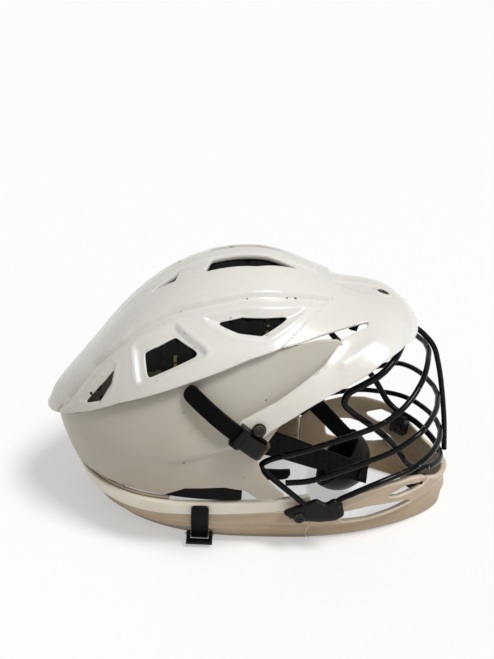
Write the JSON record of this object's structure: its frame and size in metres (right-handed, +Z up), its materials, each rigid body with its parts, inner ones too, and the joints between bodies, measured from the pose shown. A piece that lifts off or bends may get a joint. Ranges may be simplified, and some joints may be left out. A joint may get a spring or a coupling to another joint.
{
  "type": "lacrosse helmet",
  "caption": "Lacrosse helmet with a vented crown, visor, jaw band and chin guard, a welded wire face mask, lever buckles, a swinging chin cup and a sliding nape cradle.",
  "frame": {"origin": "on the floor under the rails and the chin guard, in the middle of the helmet", "axes": "+X forward to the face mask, +Y to the wearer's left, +Z up"},
  "size_m": [0.3423, 0.2496, 0.222],
  "materials": {
    "white_shell": "moulded shell, pale warm white, satin gloss",
    "lower_shell": "moulded shell, warm white, satin gloss",
    "tan_trim": "moulded trim, tan, satin",
    "coated_wire": "powder coated steel wire, gloss black",
    "black_plastic": "moulded, black, fine grain",
    "black_screw": "black oxide steel",
    "bare_steel": "drawn steel rod",
    "brass": "plated brass, aged",
    "black_strap": "moulded strap, black, matt",
    "black_foam": "closed cell foam with a fabric skin, black",
    "olive_foam": "closed cell foam, olive yellow"
  },
  "bodies": {
    "shell": {"band_panel": "tan_trim", "base_rail": "tan_trim", "brow_pad": "black_foam", "chin_guard": "tan_trim", "cradle_guide": "black_plastic", "crown_pad": "black_foam", "crown_shell": "white_shell", "inner_clip_left": "black_plastic", "inner_clip_right": "black_plastic", "inner_clip_screw_left": "black_screw", "inner_clip_screw_right": "black_screw", "jaw_band": "tan_trim", "jaw_pad_left": "black_foam", "jaw_pad_right": "black_foam", "mask_bar_centre": "coated_wire", "mask_bar_lower": "coated_wire", "mask_bar_middle": "coated_wire", "mask_bar_top": "coated_wire", "mask_frame": "coated_wire", "rear_bar_left": "bare_steel", "rear_bar_right": "bare_steel", "rear_pad": "black_foam", "rear_strap_left": "black_strap", "rear_strap_right": "black_strap", "side_clip_left": "black_plastic", "side_clip_right": "black_plastic", "side_clip_screw_left": "black_screw", "side_clip_screw_right": "black_screw", "side_pad_left": "black_foam", "side_pad_right": "black_foam", "side_shell": "lower_shell", "snap_stud_left": "brass", "snap_stud_right": "brass", "strap_anchor_left": "brass", "strap_anchor_right": "brass", "temple_pad_left": "olive_foam", "temple_pad_right": "olive_foam", "visor": "white_shell", "visor_nut": "black_screw", "visor_screw": "black_screw"},
    "chin_hanger": {"chin_cup": "black_plastic", "chin_cup_pad": "black_foam", "chin_strap_left": "black_strap", "chin_strap_right": "black_strap", "cup_snap_left": "brass", "cup_snap_right": "brass"},
    "nape_cradle": {"nape_cradle": "black_foam"},
    "buckle_right": {"side_buckle_right": "black_plastic", "buckle_pin_right": "brass"},
    "lever_right": {"buckle_lever_right": "black_plastic"},
    "tail_right": {"strap_tail_right": "black_strap"},
    "rear_hook_right": {"rear_hook_right": "black_plastic"},
    "buckle_left": {"side_buckle_left": "black_plastic", "buckle_pin_left": "brass"},
    "lever_left": {"buckle_lever_left": "black_plastic"},
    "tail_left": {"strap_tail_left": "black_strap"},
    "rear_hook_left": {"rear_hook_left": "black_plastic"}
  },
  "joints": [
    {"name": "buckle_swivel_right", "type": "hinge", "parent": "shell", "child": "buckle_right", "pos_m": [0.00353, -0.11373, 0.12235], "axis": [0, -0.9925, 0.1219], "range_deg": [-1.2, 2]},
    {"name": "buckle_lever_right", "type": "hinge", "parent": "buckle_right", "child": "lever_right", "pos_m": [-0.01031, -0.12009, 0.11814], "axis": [-0.5736, -0.0998, -0.813], "range_deg": [0, 95]},
    {"name": "strap_feed_right", "type": "hinge", "parent": "buckle_right", "child": "tail_right", "pos_m": [-0.00991, -0.03476, 0.10737], "axis": [0.5736, 0.0998, 0.813], "range_deg": [-0.4, 2.5]},
    {"name": "rear_hook_right", "type": "hinge", "parent": "shell", "child": "rear_hook_right", "pos_m": [-0.038, -0.07944, 0.00611], "axis": [-1, 0, 0], "range_deg": [0, 34]},
    {"name": "buckle_swivel_left", "type": "hinge", "parent": "shell", "child": "buckle_left", "pos_m": [0.00353, 0.11373, 0.12235], "axis": [0, -0.9925, -0.1219], "range_deg": [-1.2, 2]},
    {"name": "buckle_lever_left", "type": "hinge", "parent": "buckle_left", "child": "lever_left", "pos_m": [-0.01031, 0.12009, 0.11814], "axis": [0.5736, -0.0998, 0.813], "range_deg": [0, 95]},
    {"name": "strap_feed_left", "type": "hinge", "parent": "buckle_left", "child": "tail_left", "pos_m": [-0.00991, 0.03476, 0.10737], "axis": [-0.5736, 0.0998, -0.813], "range_deg": [-0.4, 2.5]},
    {"name": "rear_hook_left", "type": "hinge", "parent": "shell", "child": "rear_hook_left", "pos_m": [-0.038, 0.07944, 0.00611], "axis": [1, 0, 0], "range_deg": [0, 34]},
    {"name": "chin_cup_swing", "type": "hinge", "parent": "shell", "child": "chin_hanger", "pos_m": [-0.008, 0, 0.105], "axis": [0, -1, 0], "range_deg": [0, 25]},
    {"name": "nape_cradle_slide", "type": "slide", "parent": "shell", "child": "nape_cradle", "axis": [1, 0, 0], "range_m": [0, 0.012]}
  ]
}
